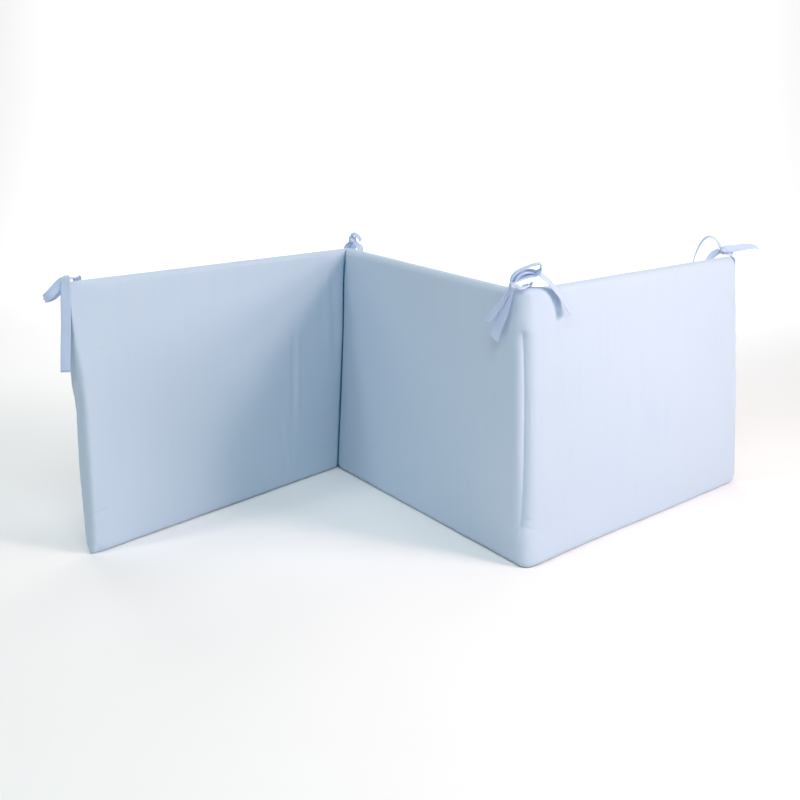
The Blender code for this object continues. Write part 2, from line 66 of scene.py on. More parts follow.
# The left end's seam bows out and is fuller in its upper half. Its upper corner is drawn flat
# at the front, where the tie is sewn on.
END_BOW = 0.0020
BOW_FADE = 0.045
END_SWELL = 0.0050
END_SWELL_FROM = 0.215
END_SWELL_FADE = 0.100
CORNER_PINCH = 0.92
PINCH_FROM = 0.262
PINCH_FADE = 0.115
PINCH_REACH = 0.050

# Between the panels the cover is sewn through, apart from a stretch at the top and at the bottom.
SEWN_FROM = 0.054
SEWN_TO = 0.349
SEWN_FADE = 0.011
SEWN_HALF = 0.0015
UNSEWN_HALF = 0.0095
SEAM_DEPTH = 0.0050  # of the groove that the sewn line makes on a fold's outer side
SEAM_SPREAD = (0.0085, 0.0060)  # how wide the groove is before and after the line
SEAM_ASIDE = -0.0018  # how far past the ridge its sewn line starts
SEAM_LEAN = 0.0044  # how much farther past it the line's top is
SEAM_BOW = 0.0072  # and how much farther its middle is
SEAM_BOW_POWER = 0.45
FOLD_ROUND = 0.0060  # how far from a fold its middle line starts to turn
RIDGE_REACH = (0.0080, 0.0420)  # the same before and after the ridge, above its foot
RIDGE_ROUND_FROM = 0.004
RIDGE_ROUND_FADE = 0.040
RIDGE_SWELL = 0.0065  # how far the padding bulges past the ridge's seam
RIDGE_SWELL_AT = 0.0060
RIDGE_SWELL_RISE = 0.0040
RIDGE_SWELL_FADE = 0.060
RIDGE_RISE = 0.0032  # how far the tie lifts the rim past the ridge
RIDGE_RISE_AT = 1.2120
RIDGE_RISE_REACH = 0.050
RIDGE_RISE_FADE = 0.045
FOOT_KICK = (0.0042, -0.0084)  # how far right and back the ridge's foot is pushed
FOOT_KICK_BEFORE = 0.032  # how far this reaches before the ridge
FOOT_KICK_HEIGHT = 0.070
FOLD_REACH = 0.045  # how far from a fold its inner sides can touch
CREASE_GAP = 0.0004
CREASE_ROUND = 0.0034
CREASE_ROUND_FROM = 0.004  # how far from the fold its rounding has set in
CREASE_CREEP = 0.2  # how fast the inside of a fold moves outward, per metre of cover
CREASE_SWAY = (0.0038, 0.350, 0.060)  # how far the left fold's crease sways, at what height

LEFT_END = np.array((-0.5047, -0.2203))
PANEL_HEADINGS = np.radians((55.1, -61.2, 46.6))
LEANS = np.array(((-0.0115, 0.0190), (0.0185, 0.0), (-0.0125, -0.0135), (-0.0245, -0.0020)))
FRONT_VALLEY = 1  # the fold whose inner side is at the front

MM = 0.001
ROUNDING = 1e-9
NOISE_CELLS = 256

# ---- the cover's own detail ----

STEP_ALONG = 0.0056  # between two points of the cover's surface away from its seams
STEP_UP = 0.0046
FINE_ROWS = (0.044, 0.076, 0.0021)  # closer rows where the ridge's seam ends
SEAM_REACH = 0.030  # how far beside the ridge's seam the columns follow it
ROUND_ANGLES = (0, 6, 13, 22, 33, 45, 57, 69, 80, 90)
FOLD_STEPS = MM * np.array((0, 0.4, 1, 2, 3.2, 4.6, 6.2, 8, 10, 12, 14, 17, 20, 24, 28))
SEAM_NOTCH = 0.0011  # how far the knife-edge seam draws in between the rounded edges
NOTCH_HALF = 0.0009  # how thick the padding is, halved, where it stops doing so
DETAIL_HALF = 0.0056  # and where the cloth's own detail has faded in
OUTER_CORNERS = {  # radius of each outer corner of the cover
    ("left", "low"): 0.0035, ("left", "high"): 0.0060,
    ("right", "low"): 0.0080, ("right", "high"): 0.0060,
}
EAR_REACH = 0.020  # how far the thin corner ears reach
EAR_THIN = 0.40  # how much thinner the filling is in them

# Soft unevenness of the filling and the cloth, in millimetres.
Layer = namedtuple("Layer", "seed cell_along cell_up height")
FILLING_LAYERS = (
    Layer(11, 110, 120, 0.90),
    Layer(12, 46, 70, 0.38),
    Layer(13, 17, 130, 0.20),
    Layer(14, 9, 60, 0.07),
)

SIDE_SHIFT = 50  # cells between the front's and the back's unevenness

# Short folds square to a seam: how far apart they are, how long they run, how far apart their
# strong stretches are, how much they vary, how far in they reach, and their height.
Pucker = namedtuple("Pucker", "pitch run stretch vary reach height")
RIM_PUCKERS = Pucker(0.0085, 0.060, 0.070, 0.5, 0.011, 0.90 * MM)
END_PUCKERS = Pucker(0.0110, 0.080, 0.060, 0.4, 0.016, 0.90 * MM)
FOLD_PUCKERS = Pucker(0.0095, 0.060, 0.050, 0.5, 0.014, 0.55 * MM)
PUCKER_DRIFT = 0.5

# Creases that the photo shows, in millimetres. A negative depth is a ridge, and side 1 the front.
Crease = namedtuple("Crease", "side along_0 up_0 along_1 up_1 half_width depth")
CREASES = [Crease(*facts) for facts in (
    (1, 447, 285, 452, 100, 5, 2), (1, 457, 270, 462, 110, 6, -1.4),
    (1, 416, 128, 438, 22, 4, 1.8), (1, 424, 110, 446, 25, 5, -1.2),
    (1, 395, 95, 402, 30, 4, 1.2), (1, 370, 150, 376, 60, 6, 0.9),
    (1, 132, 380, 129, 352, 1.6, 0.5), (1, 197, 379, 192, 300, 1.8, 0.5),
    (1, 545, 372, 560, 200, 6, 1.2), (1, 532, 380, 540, 240, 6, -0.9),
    (1, 556, 392, 548, 374, 7, -1.6), (1, 0, 13, 18, 4, 1.9, 2.2),
    (1, 2, 34, 20, 24, 2, 1.6), (1, 8, 8, 26, 14, 2.6, -0.9),
    (1, 4, 60, 28, 66, 2.6, 1.3), (1, 4, 128, 32, 124, 2.8, 1.3),
    (1, 5, 190, 36, 199, 2.8, 1.4), (1, 5, 236, 34, 238, 2.6, 1.2),
    (1, 5, 292, 38, 300, 3, 1.5), (1, 5, 262, 34, 268, 2.6, 1.1),
    (1, 638, 165, 640, 60, 3, 0.9), (1, 648, 150, 652, 48, 4, -0.6),
    (1, 830, 72, 832, 40, 2.2, 0.8), (1, 1198, 55, 1188, 50, 3, 2),
    (1, 1203, 71, 1218, 68, 1.6, 1.5), (1, 1204, 60, 1224, 52, 2.2, 1.4),
    (1, 1226, 46, 1240, 42, 2.4, 1.2), (1, 1212, 246, 1213, 205, 1.5, 0.5),
    (1, 1218, 240, 1220, 200, 1.8, 0.5), (1, 1226, 238, 1228, 208, 1.5, 0.4),
    (1, 1190, 120, 1180, 112, 2.5, 0.6), (1, 1192, 205, 1183, 212, 2.5, 0.5),
    (1, 1222, 396, 1236, 400, 7, -1.4), (-1, 4, 225, 10, 350, 32, -4.6),
    (-1, 596, 54, 574, 40, 3, 1.2), (-1, 604, 54, 630, 44, 3, 1.1),
    (-1, 597, 343, 578, 356, 3, 1), (-1, 604, 343, 624, 354, 3, 1),
    (-1, 300, 350, 310, 180, 6, 0.8), (-1, 960, 300, 950, 90, 6, 0.8),
    (-1, 1500, 330, 1512, 120, 6, 0.9),
)]
CREASE_FADE = 3.0  # how steeply a crease starts and ends
CREASE_START = 0.35  # how much of it shows right at its ends

# Where a tie is sewn on, the cover is drawn in, with a low ring round it. In millimetres.
Dimple = namedtuple("Dimple", "side along up radius depth")
DIMPLES = (
    Dimple(1, 43, 366, 15, 1.7),
    Dimple(-1, 22, 388, 12, 1.8),
    Dimple(-1, 591, 388, 11, 1.5),
    Dimple(-1, 613, 388, 11, 1.5),
    Dimple(-1, 1238, 388, 12, 1.6),
    Dimple(-1, 1789, 388, 12, 1.6),
    Dimple(1, 1199, 57, 6, 1.5),
    Dimple(1, 1199, 350, 6, 1.0),
)
DIMPLE_RING = (1.25, 0.30, 0.25)  # its ring's radius and width in radii, and its share of depth

# ---- the ties, as in the model's source ----

EDGE_NAMES = ("left_end", "valley", "ridge", "right_end")
TAPE_WIDTH = 0.0140
TAPE_THICKNESS = 0.0012
# Each tape's route, point by point: the place from its upright edge's top and the way its face
# looks, both as right, back and up, and how wide it lies there. Places and widths are in
# millimetres.
TAPE_ROUTES = {
    ("left_end", "root"): (
        (3, 24.8, -24, -0.8, 0.6, 0, 14), (2.4, 25.4, -6, -0.8, 0.6, 0, 14),
        (1, 22, 2.5, -0.5, 0.3, 0.8, 12), (0, 12, 3.4, -0.2, -0.2, 1, 10),
        (-5.5, 2, 4.5, -0.1, -0.2, 1, 7),
    ),
    ("left_end", "tail"): (
        (-6, -1, 4, -0.1, 0.3, 1, 7), (-6, -5, 8, -0.1, -0.3, 1, 8),
        (-6, -9, 6, -0.1, -0.8, 0.6, 11), (-7, -10, -4, -0.1, -1, 0, 14),
        (-8, -11, -30, 0, -1, 0, 14), (-9, -12, -60, -0.1, -1, 0, 14),
        (-11, -13, -95, 0, -1, 0, 14), (-13, -13, -129, -0.1, -1, 0, 14),
    ),
    ("left_end", "loop"): (
        (-8, -3, 4, 0, -1, 0.3, 8), (-14, -6, 0, -0.1, -1, 0.3, 13),
        (-22, -8, -8, -0.2, -1, 0.3, 14), (-31, -9, -17, -0.3, -1, 0.3, 14),
        (-39, -6, -23, -0.9, -0.4, -0.2, 12), (-40, -1, -26, -0.5, 0.7, -0.6, 11),
        (-33, 4, -24, 0.2, 1, -0.4, 13), (-24, 3, -17, 0.2, 1, 0, 13),
        (-17, 1, -7, 0, 1, 0, 9), (-10, 0, 2, -0.2, 1, 0, 6),
    ),
    ("valley", "left_root"): (
        (-2, 12, -26, 0, 1, 0, 14), (-2, 12, -8, 0, 1, 0, 14),
        (-1, 11, 1, 0, 1, 0.1, 13), (2, 9, 6, 0.2, 0.9, 0.3, 9),
        (5, 7, 11, 0.3, 0.9, 0.3, 6),
    ),
    ("valley", "right_root"): (
        (24, -9, -28, 0.9, 0.5, 0, 14), (24, -9, -6, 0.8, -0.3, 0.3, 14),
        (21, -7, 2, 0.5, -0.8, 0.4, 13), (15, -1, 7, 0.4, -0.9, 0.3, 9),
        (10, 4, 12, 0.4, -0.8, 0.4, 6),
    ),
    ("valley", "short_tail"): (
        (8, 4, 17, -0.5, -0.8, 0.4, 7), (7, 3, 23, -0.4, -0.8, 0.6, 7),
        (12, 2, 24, 0.2, -0.8, 0.7, 8), (18, 3, 19, 0.5, -0.7, 0.5, 9),
        (22, 4, 12, 0.8, -0.5, 0.3, 8),
    ),
    ("valley", "back_tail"): (
        (7, 10, 16, 0, 0.3, 1, 7), (7, 15, 18, 0, 0.4, 0.9, 11),
        (7, 21, 11, 0, 0.9, 0.4, 14), (6, 23, -2, 0, 1, 0.1, 14),
        (5, 23, -28, 0.1, 1, 0, 14), (3, 22, -54, 0.1, 1, 0, 14),
        (0, 23, -76, 0, 1, 0, 14),
    ),
    ("ridge", "root"): (
        (14, 42, -24, -0.7, 0.7, 0, 14), (14, 41, -6, -0.7, 0.7, 0, 14),
        (13, 30, 5, -0.4, 0.3, 0.8, 13), (9, 14, 6, 0, 0, 1, 11),
        (4, 0, 5.5, -0.1, -0.2, 1, 9), (-2, -11, 5.5, -0.2, -0.5, 0.9, 8),
        (-10, -14, 9, -0.3, -0.7, 0.7, 6),
    ),
    ("ridge", "loop"): (
        (-16, -13, 13, -0.7, -0.1, 0.7, 6), (-14, -13, 20, -0.8, -0.2, 0.6, 9),
        (-9, -12, 26, -0.6, -0.3, 0.8, 10), (-2, -11, 30, -0.4, -0.2, 0.9, 11),
        (7, -10, 34, -0.35, -0.15, 0.95, 12), (16, -9, 37, -0.35, -0.15, 0.95, 12),
        (23, -8, 38, 0.3, -0.1, 0.9, 12), (25, -7, 35, 1, -0.1, 0.1, 12),
        (24, -6, 28, 0.9, 0.2, -0.4, 12), (17, -5, 23.5, 0.1, 0.5, -0.85, 14),
        (8, -6, 22.5, 0, 0.5, -0.85, 14), (-2, -9, 19.5, 0.1, 0.6, -0.8, 11),
        (-10, -11, 14, 0.5, 0.3, -0.8, 7),
    ),
    ("ridge", "arc_tail"): (
        (-12, -14, 13, -0.6, -0.4, 0.7, 6), (-9, -15, 19, -0.6, -0.4, 0.7, 8),
        (-4, -14, 24, -0.4, -0.4, 0.8, 10), (5, -9, 26.5, 0.2, -0.15, 1, 12),
        (15, -2, 26, 0.5, -0.25, 0.85, 13), (25, 6, 21, 0.7, -0.28, 0.65, 14),
        (38, 15, 11, 0.85, -0.3, 0.4, 14), (46, 22, 2, 0.9, -0.32, 0.3, 14),
        (57, 32, -11, 0.9, -0.32, 0.3, 14), (66, 37, -25, 0.92, -0.30, 0.25, 14),
        (74, 39, -38, 0.95, -0.25, 0.2, 14),
    ),
    ("ridge", "narrow_tail"): (
        (-17, -15, 7, -0.6, -0.6, 0.5, 6), (-23, -10, -2, -0.6, -0.6, 0.5, 9),
        (-30, -3, -15, -0.6, -0.6, 0.5, 11), (-39, 5, -30, -0.6, -0.6, 0.4, 11),
        (-49, 14, -46, -0.7, -0.5, 0.5, 9),
    ),
    ("ridge", "wide_tail"): (
        (-15, -15, 6, -0.4, -0.9, 0.2, 6), (-17, -12, -2, -0.4, -0.9, 0.2, 9),
        (-20, -4, -17, -0.4, -0.9, 0.2, 12), (-25, 6, -36, -0.3, -0.9, 0.2, 14),
        (-31, 15, -55, -0.3, -0.9, 0.2, 14), (-35, 21, -71, -0.2, -1, 0.2, 14),
    ),
    ("right_end", "root"): (
        (3, 3, -24, 0.7, 0.7, 0, 14), (3.5, 3.5, -7, 0.7, 0.6, 0.1, 14),
        (2, 2.5, 4, 0.3, -0.6, 0.6, 12), (-5, 1, 8.5, 0, -1, 0.2, 13),
        (-13, 1, 12, -0.1, -1, 0.1, 9),
    ),
    ("right_end", "loop"): (
        (-17, 3, 14, 0.7, -0.5, 0.4, 8), (-20, 3, 20, 0.8, -0.4, 0.4, 11),
        (-26, 4, 28, 0.7, -0.3, 0.6, 12), (-36, 5, 33, 0, -0.1, 1, 12),
        (-47, 6, 27, -0.7, 0, 0.7, 13), (-56, 7, 10, -0.9, 0.1, 0.4, 14),
        (-62, 8, -12, -1, 0.2, 0, 14), (-61, 10, -30, -0.8, 0, -0.6, 14),
        (-52, 11, -35, 0.4, -0.1, -0.9, 14), (-43, 10, -21, 0.7, -0.4, -0.6, 14),
        (-35, 8, -7, 0.5, -0.8, -0.4, 14), (-27, 6, 3, 0.3, -1, -0.2, 13),
        (-18, 4, 9, 0.2, -1, -0.2, 9),
    ),
    ("right_end", "tail"): (
        (-10, 0, 13, 0, -0.9, 0.4, 12), (-2, -1, 13, 0, -0.8, 0.5, 14),
        (10, -2, 14.5, 0, -0.7, 0.7, 14), (22, -3, 16.5, 0, -0.6, 0.8, 14),
        (33, -3, 17.5, 0, -0.5, 0.85, 14), (39, -3, 17, 0.2, -0.4, 0.9, 13),
        (45, -3, 15.5, 0.3, -0.4, 0.85, 11),
    ),
}

Knot = namedtuple("Knot", "right back up half_right half_back half_up turn")
KNOTS = {
    "left_end": Knot(-7, -1, 4, 5.5, 5.5, 4.5, 30),
    "valley": Knot(7, 6, 13, 5.5, 5.0, 5.5, -20),
    "ridge": Knot(-14, -13, 10, 4.5, 5.0, 6.0, 35),
    "right_end": Knot(-10, 3, 9.5, 8.5, 4.5, 7.0, -15),
}

# How far a free end is cut on the slant, as a share of its width.
TAPE_ENDS = {
    ("ridge", "wide_tail"): -0.5,
    ("ridge", "narrow_tail"): 0.3,
    ("left_end", "tail"): 0.1,
    ("right_end", "tail"): 0.3,
}

# Lengths folded down their middle, and how steeply.
TAPE_FOLDS = {
    ("ridge", "narrow_tail"): 0.75,
    ("left_end", "loop"): 0.30,
    ("right_end", "tail"): 0.12,
}

TAPE_SECTIONS = 8  # cross-sections between two points of a tape's route
TAPE_ACROSS = 11  # points across a tape
TAPE_LEAST_WIDTH = 0.0050  # of a tape that its knot gathers
PLEATS = 2.2  # across a gathered tape
PLEAT_HEIGHT = 0.088  # as a share of the width that it lies in
PLEAT_LIMIT = 4.0  # where pleats stop growing with the cloth to spare
PLEAT_SHIFT = 0.6  # from one tape's pleats to the next one's
TAPE_CURL = (0.00045, 0.030)  # how far a tape's edges curl, and over what length
TAPE_RIPPLE = (0.00014, 0.008)  # how high it ripples, and over what length
HEM_FROM = 0.55  # where its doubled hem starts, from its middle to its edge
HEM_FADE = 0.20
UNHEMMED = 0.62  # how thick it is between the hems, as a share
OUTER_EDGE = 0.55  # and right at its edges

KNOT_RINGS = 26
KNOT_AROUND = 36
KNOT_RIDGES = 3
KNOT_RIDGE_HEIGHT = 0.204
KNOT_GROOVE_DEPTH = 0.119
KNOT_RIDGE_POWER = 0.7
KNOT_RIDGE_SLANT = 4.0
KNOT_UNEVEN = 0.03
KNOT_CLOTH = 0.006  # of flat cloth to each radian, for its weave
KNOT_TAPE_LENGTH = 0.090  # of tape wound up in one knot

STITCH_STEP = 0.0029
STITCH_LENGTH = 0.0020
STITCH_RADIUS = 0.00032
STITCH_SIDES = 6
STITCH_MARGIN = 0.002  # left free at each end of a fold's sewn stretch
# A stitch, from end to end: the share of its length, how high it is and how thick, in radii.
STITCH_SHAPE = ((0, -0.6, 0.55), (0.15, 0.5, 1), (0.5, 1, 1), (0.85, 0.5, 1), (1, -0.6, 0.55))
HEM_STITCH_IN = 0.0018  # how far in from a tape's edge its stitches are
HEM_STITCH_HALF = 0.00028
HEM_STITCH_STEP = 0.0028
HEM_STITCH_SHARE = 0.72  # of each step that shows thread

# ---- colours and light ----

COVER_BLUE = (0.511, 0.618, 0.745)
COVER_DEEP = (0.482, 0.596, 0.735)
TAPE_BLUE = (0.74, 0.82, 0.93)
TAPE_DEEP = (0.69, 0.79, 0.92)
THREAD_BLUE = (0.59, 0.68, 0.78)
THREAD_DARK = 0.82  # how dark the thread is between its twists, as a share
THREAD_TWISTS = 2500.0  # per metre

# How many of each there are per metre, across the cloth and along it, and how much each darkens.
SLUBS = (900.0, 22.0)
STREAKS = (70.0, 4.0)
CLOUDS = (9.0, 9.0)
SLUB_SHADE, STREAK_SHADE, CLOUD_SHADE = 0.45, 0.55, 0.50
WEAVE_PITCH = 0.00085
WEAVE_HEIGHT, SLUB_HEIGHT, THREAD_HEIGHT = 0.35, 0.50, 1.20
THREAD_SHOWS = 0.65  # how strongly a hem's thread colours the tape
TAPE_THIN = 0.30  # the share of the light that soaks into the thin tape and through
THROUGH_BLUE = (0.30, 0.62, 1.0)
# Painted shade: a deep blue laid on the cloth pressed together inside the left fold, in place of the
# shade that falls in that crease.
CREASE_PAINTED_SHADE = (0.03, 0.40, 0.68)
CREASE_SHADE_REACH = (0.0185, 0.0215)  # how far from the left fold its painted shade ends
CREASE_SHADE_TOP = (0.376, 0.388)  # and at what height
FLOOR_WHITE = (0.90, 0.90, 0.90)
WORLD_WHITE = (1.0, 1.0, 1.0)
WORLD_STRENGTH = 0.15

# Each lamp: its bearing from the camera's side and its height angle, both in degrees, its
# distance from the middle of the object, its size, its power and its colour.
Lamp = namedtuple("Lamp", "bearing rise distance size power colour")
LAMPS = {
    "key": Lamp(55, 30, 1.8, 0.40, 13.1, (1.0, 0.788, 0.752)),
    "key_fill": Lamp(70, 20, 1.8, 0.40, 8.4, (1.0, 0.867, 0.838)),
    "left": Lamp(-60, 40, 2.0, 0.28, 5.5, (0.93, 0.986, 0.985)),
    "back_left": Lamp(-135, 35, 2.0, 0.60, 4.7, (1.0, 1.0, 1.0)),
    "front": Lamp(0, 40, 2.4, 1.00, 18.0, (0.829, 0.987, 1.0)),
    "top": Lamp(0, 82, 2.2, 1.00, 10.0, (1.0, 1.0, 1.0)),
    "backdrop": Lamp(180, 50, 3.9, 1.50, 145.0, (1.0, 1.0, 1.0)),
}
LAMP_AIM = (0.0, 0.0, 0.2)
BACKDROP_AIM = (0.0, 5.0, 0.6)

CAMERA_PLACE = (-0.0548, -1.9976, 0.6384)
CAMERA_DOWN, CAMERA_LEFT, CAMERA_ROLL = np.radians((12.798, -0.149, 0.380))
CAMERA_LENS = 57.23


# ---- small helpers ----

def ease(value):
    value = np.clip(value, 0.0, 1.0)
    return value * value * (3 - 2 * value)


def unit(vectors):
    return vectors / np.linalg.norm(vectors, axis=-1, keepdims=True)


def noise(seed, x, y):
    """Smooth unevenness from about -1 to 1, with cells one unit wide."""
    lattice = np.random.default_rng(seed).uniform(-1, 1, (NOISE_CELLS, NOISE_CELLS))
    i, j = np.floor(x).astype(int), np.floor(y).astype(int)
    u, v = ease(x - i), ease(y - j)
    i, j, right, above = (cell % NOISE_CELLS for cell in (i, j, i + 1, j + 1))
    low = lattice[i, j] * (1 - u) + lattice[right, j] * u
    high = lattice[i, above] * (1 - u) + lattice[right, above] * u
    return low * (1 - v) + high * v


def new_object(name, data):
    obj = bpy.data.objects.new(name, data)
    bpy.context.scene.collection.objects.link(obj)
    return obj


def new_mesh(name, points, faces, uvs, material):
    """An object from its points, faces and each point's place on the flat cloth, in metres."""
    mesh = bpy.data.meshes.new(name)
    mesh.from_pydata(points.tolist(), [], faces)
    layer = mesh.uv_layers.new(name="flat_cloth")
    corners = np.empty(len(mesh.loops), dtype=np.int32)
    mesh.loops.foreach_get("vertex_index", corners)
    layer.data.foreach_set("uv", uvs[corners].astype(np.float32).ravel())
    mesh.validate()
    mesh.update()
    mesh.shade_smooth()
    mesh.materials.append(material)
    return new_object(name, mesh)


# ---- the cover ----

FEET = [LEFT_END]
for heading in PANEL_HEADINGS:
    FEET.append(FEET[-1] + PANEL_LENGTH * np.array((math.cos(heading), math.sin(heading))))
FEET = np.array(FEET)


def shoulder(distance, width=ROUND_WIDTH, power=ROUND_POWER):
    inward = np.clip(distance / width, 0.0, 1.0)
    return (1 - (1 - inward) ** power) ** (1 / power)


def round_steps(width=ROUND_WIDTH, power=ROUND_POWER):
    """Distances from a seam that follow the rounded edge in about even steps."""
    angles = np.radians(ROUND_ANGLES)
    return width * (1 - np.cos(angles) ** (2 / power))


def places_between(start, length, first_steps, last_steps, step):
    """Places along a stretch: given steps at its start and its end, even ones between them."""
    near = start + first_steps
    far = start + length - last_steps[::-1]
    count = int(round((far[0] - near[-1]) / step))
    return np.concatenate([near, np.linspace(near[-1], far[0], count + 1)[1:-1], far])


def cover_columns():
    at_end = round_steps(END_ROUND_WIDTH, END_ROUND_POWER)
    steps = [at_end, *[FOLD_STEPS] * (PANELS - 1), at_end]
    places = []
    for panel, (first, last) in enumerate(zip(steps, steps[1:])):
        start = panel * PANEL_LENGTH
        places.append(places_between(start, PANEL_LENGTH, first, last, STEP_ALONG))
    return np.concatenate([places[0], places[1][1:], places[2][1:]])


def cover_rows():
    steps = round_steps()
    rows = places_between(0.0, COVER_HEIGHT, steps, steps, STEP_UP)
    start, end, step = FINE_ROWS
    rows = rows[(rows < start) | (rows > end)]
    return np.unique(np.concatenate([rows, np.arange(start, end, step), [SETTLE]]))


def sewn_share(height):
    return ease((height - SEWN_FROM) / SEWN_FADE) * ease((SEWN_TO - height) / SEWN_FADE)


def fold_front(edge):
    """1 where a fold's outer side is the front, -1 where it is the back."""
    return -1 if edge == FRONT_VALLEY else 1


def seam_along(edge, height):
    """Where the sewn line is that gathers the padding at a fold."""
    if edge == FRONT_VALLEY:
        return np.full_like(height, edge * PANEL_LENGTH)
    share = np.clip((height - SEWN_FROM) / (SEWN_TO - SEWN_FROM), 0.0, 1.0)
    bow = SEAM_BOW * np.sin(np.pi * share) ** SEAM_BOW_POWER
    return edge * PANEL_LENGTH + SEAM_ASIDE + SEAM_LEAN * share + bow


def ridge_swell(past):
    """How far the last panel's padding bulges beside the ridge's seam."""
    rise = 1 / (1 + np.exp(np.clip((RIDGE_SWELL_AT - past) / RIDGE_SWELL_RISE, -30, 30)))
    return RIDGE_SWELL * rise * np.exp(-np.maximum(past, 0.0) / RIDGE_SWELL_FADE)


def pinch(side, panel, local, height):
    """How the padding thins into the folds: pressed on the inner side, a shallow groove outside."""
    along = panel * PANEL_LENGTH + local
    sewn = sewn_share(height)
    share, depth = np.ones_like(along), np.zeros_like(along)
    for edge in range(1, PANELS):
        if side == fold_front(edge):
            past = along - seam_along(edge, height)
            fade = np.where(past < 0, *SEAM_SPREAD)
            depth += SEAM_DEPTH * sewn * np.exp(-np.abs(past) / fade)
            if edge != FRONT_VALLEY:
                depth -= ridge_swell(past)
        else:
            waist = (SEWN_HALF * sewn + UNSEWN_HALF * (1 - sewn)) / RIM_HALF
            share = share * (waist + (1 - waist) * shoulder(np.abs(along - edge * PANEL_LENGTH)))
    return share, depth


def half_thickness(side, panel, local, height):
    along = panel * PANEL_LENGTH + local
    reach = np.where(panel == 1, 0.0, END_CROWN * PANEL_LENGTH)
    from_inner = np.where(panel == 0, PANEL_LENGTH - local, local)
    crown = np.sin(np.pi * from_inner / (PANEL_LENGTH + reach))
    crown = crown * np.sin(np.pi * height / COVER_HEIGHT)
    half = RIM_HALF + (FULL_HALF - RIM_HALF) * np.clip(crown, 0.0, 1.0) ** CROWN_POWER
    share, depth = pinch(side, panel, local, height)
    half = half * share - depth
    if side > 0:
        drawn = ease((height - PINCH_FROM) / PINCH_FADE) * (1 - ease(along / PINCH_REACH))
        half = half * (1 - CORNER_PINCH * drawn)
    for distance in (along, COVER_LENGTH - along):
        half = half * shoulder(distance, END_ROUND_WIDTH, END_ROUND_POWER)
    return half * shoulder(height) * shoulder(COVER_HEIGHT - height)


def bend_reach(edge, height):
    """How far before and after a fold its panels bend into each other."""
    if edge == FRONT_VALLEY:
        return np.full_like(height, FOLD_ROUND), np.full_like(height, FOLD_ROUND)
    share = ease((height - RIDGE_ROUND_FROM) / RIDGE_ROUND_FADE)
    return tuple(FOLD_ROUND + (reach - FOLD_ROUND) * share for reach in RIDGE_REACH)


def from_corner(along, height):
    """Distances from the nearer end and rim, and the radius of the corner they share."""
    from_end = np.minimum(along, COVER_LENGTH - along)
    from_rim = np.minimum(height, COVER_HEIGHT - height)
    radius = np.zeros_like(along)
    for (end, rim), size in OUTER_CORNERS.items():
        here = (along < COVER_LENGTH / 2) == (end == "left")
        here &= (height < COVER_HEIGHT / 2) == (rim == "low")
        radius[here] = size
    return from_end, from_rim, radius


def rounded_corner(along, height):
    """Moves the places in the outer corners onto the corners' round outlines."""
    from_end, from_rim, radius = from_corner(along, height)
    out_end, out_rim = 1 - from_end / radius, 1 - from_rim / radius
    inside = (out_end > 0) & (out_rim > 0)
    shrink = np.maximum(out_end, out_rim) / np.maximum(np.hypot(out_end, out_rim), ROUNDING)
    shrink = np.where(inside, shrink, 1.0)
    from_end = np.where(inside, (1 - out_end * shrink) * radius, from_end)
    from_rim = np.where(inside, (1 - out_rim * shrink) * radius, from_rim)
    return (
        np.where(along < COVER_LENGTH / 2, from_end, COVER_LENGTH - from_end),
        np.where(height < COVER_HEIGHT / 2, from_rim, COVER_HEIGHT - from_rim),
    )


def corner_ears(along, height):
    """Less than 1 in the thin tips of the outer corners."""
    from_end, from_rim, radius = from_corner(along, height)
    return 1 - EAR_THIN * ease(1 - np.hypot(from_end, from_rim) / EAR_REACH)


def puckers(kind, seeds, by_seam, from_seam, cells_in, drift):
    waves = noise(seeds[0], by_seam / kind.pitch, cells_in)
    uneven = 1 - kind.vary + kind.vary * noise(seeds[1], by_seam / kind.stretch, drift)
    return kind.height * waves * uneven * np.exp(-from_seam / kind.reach)


def seam_puckers(side, along, height):
    """Short folds square to the seam all round, where it gathers the cloth a little."""
    from_rim = np.minimum(height, COVER_HEIGHT - height)
    from_end = np.minimum(along, COVER_LENGTH - along)
    low, left = height < COVER_HEIGHT / 2, along < PANEL_LENGTH
    seed = 30 + 4 * (side > 0)
    cells_in = from_rim / RIM_PUCKERS.run + 7 * low
    by_rim = puckers(RIM_PUCKERS, (seed, seed + 1), along, from_rim, cells_in, 3.0 * low)
    cells_in = from_end / END_PUCKERS.run + 9 * left
    drift = from_end / PUCKER_DRIFT
    return by_rim + puckers(END_PUCKERS, (seed + 2, seed + 3), height, from_end, cells_in, drift)


def fold_puckers(along, height):
    """Short folds that run out from the sewn stretch of the two folds."""
    total = 0.0
    for edge in range(1, PANELS):
        distance = np.abs(along - edge * PANEL_LENGTH)
        cells_in, drift = along / FOLD_PUCKERS.run, along / PUCKER_DRIFT
        folds = puckers(FOLD_PUCKERS, (60 + edge, 70 + edge), height, distance, cells_in, drift)
        total = total + folds * sewn_share(height)
    return total


def creases(side, along, height):
    total = np.zeros_like(along)
    for crease in CREASES:
        if crease.side != side:
            continue
        start = MM * np.array((crease.along_0, crease.up_0))
        run = MM * np.array((crease.along_1, crease.up_1)) - start
        length = np.hypot(*run)
        along_it = ((along - start[0]) * run[0] + (height - start[1]) * run[1]) / length ** 2
        off_it = ((along - start[0]) * run[1] - (height - start[1]) * run[0]) / length
        ends = ease(np.minimum(along_it, 1 - along_it) * CREASE_FADE + CREASE_START)
        total -= MM * crease.depth * ends * np.exp(-(off_it / (MM * crease.half_width)) ** 2)
    at, width, share = DIMPLE_RING
    for dimple in DIMPLES:
        if dimple.side == side:
            distance = np.hypot(along - MM * dimple.along, height - MM * dimple.up)
            radius = distance / (MM * dimple.radius)
            ring = share * np.exp(-((radius - at) / width) ** 2)
            total -= MM * dimple.depth * (np.exp(-radius ** 2) - ring)
    return total


